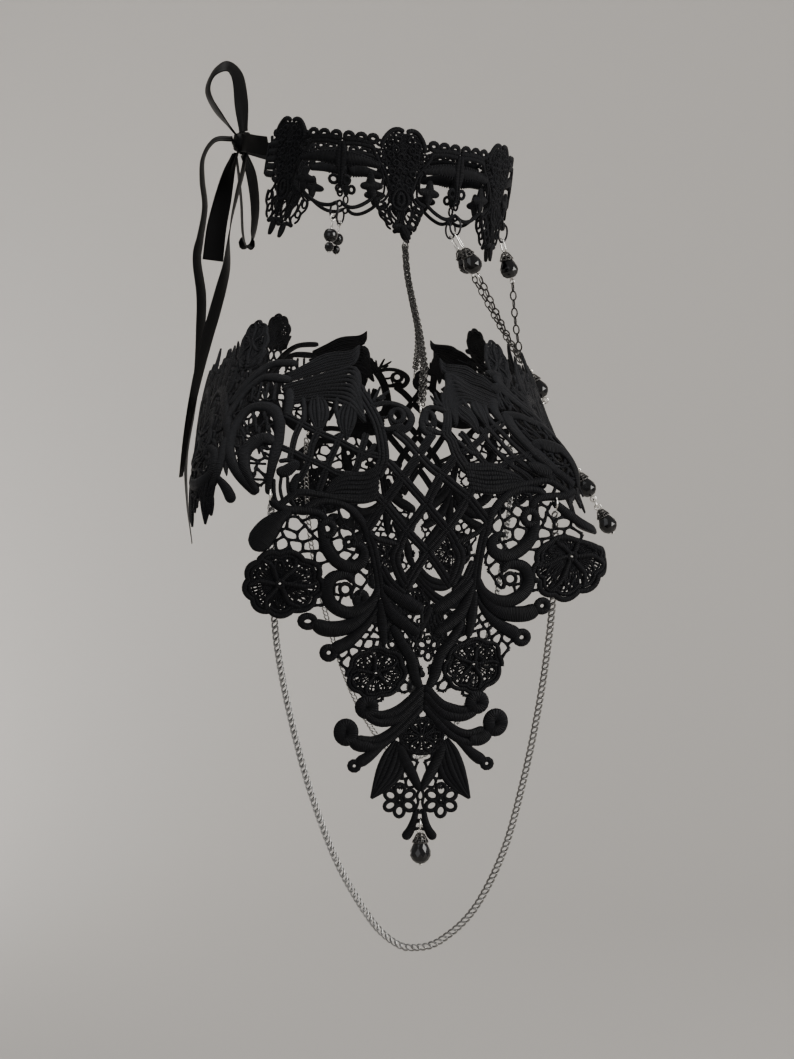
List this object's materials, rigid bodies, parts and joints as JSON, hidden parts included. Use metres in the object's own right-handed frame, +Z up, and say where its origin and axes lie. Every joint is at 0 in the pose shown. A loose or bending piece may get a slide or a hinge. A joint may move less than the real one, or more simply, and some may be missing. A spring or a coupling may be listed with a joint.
{
  "type": "lace choker with shoulder lace",
  "caption": "Black guipure lace choker tied with a satin ribbon, with chains and glass drops that join it to lace shoulder pieces and hanging swags.",
  "frame": {"origin": "middle of the choker band on the axis of the neck", "axes": "+Z up along the neck, the wearer faces -Y, the wearer's right is -X"},
  "size_m": [0.3546, 0.2003, 0.3563],
  "materials": {
    "lace": "matte satin-stitch thread",
    "satin": "satin",
    "gunmetal": "polished gunmetal",
    "black_wire": "black coated",
    "silver": "bright plated",
    "glass": "faceted, polished"
  },
  "bodies": {
    "root": {"shoulder_lace_right": "lace", "shoulder_lace_left": "lace", "choker_lace": "lace", "ribbon_loop_upper": "satin", "ribbon_loop_lower": "satin", "ribbon_tail_short": "satin", "ribbon_tail_outer": "satin", "ribbon_tail_inner": "satin", "ribbon_band_right": "satin", "ribbon_band_left": "satin", "ribbon_knot": "satin", "front_chain_right": "gunmetal", "front_chain_left": "gunmetal", "front_chain_center": "gunmetal", "shoulder_chain_a_right": "gunmetal", "shoulder_chain_a_left": "gunmetal", "shoulder_chain_b_right": "gunmetal", "shoulder_chain_b_left": "gunmetal", "swag_chain_right": "gunmetal", "swag_chain_left": "gunmetal", "front_ring_right": "black_wire", "front_ring_left": "black_wire", "front_ring_center": "black_wire", "small_ring_right": "black_wire", "small_ring_left": "black_wire", "front_drop_right_fitting": "silver", "front_drop_left_fitting": "silver", "front_drop_center_fitting": "silver", "chest_ring": "silver", "chest_drop_fitting": "silver", "lace_ring_chest": "silver", "lace_ring_sternum": "silver", "sternum_drop_upper_fitting": "silver", "sternum_link": "silver", "sternum_drop_lower_fitting": "silver", "small_drop_pin_right": "silver", "small_drop_pin_left": "silver", "notch_ring_right": "silver", "notch_ring_left": "silver", "swag_ring_back_right": "silver", "swag_ring_back_left": "silver", "swag_ring_front_right": "silver", "swag_ring_front_left": "silver", "tip_ring_right": "silver", "tip_ring_left": "silver", "tip_drop_fitting_right": "silver", "tip_drop_fitting_left": "silver", "lace_ring_back": "silver", "front_drop_right_bead": "glass", "front_drop_left_bead": "glass", "front_drop_center_bead": "glass", "chest_drop_bead": "glass", "sternum_drop_upper_bead": "glass", "sternum_drop_lower_bead": "glass", "small_drop_bead_right": "glass", "small_drop_bead_left": "glass", "tip_drop_bead_right": "glass", "tip_drop_bead_left": "glass"}
  },
  "joints": []
}
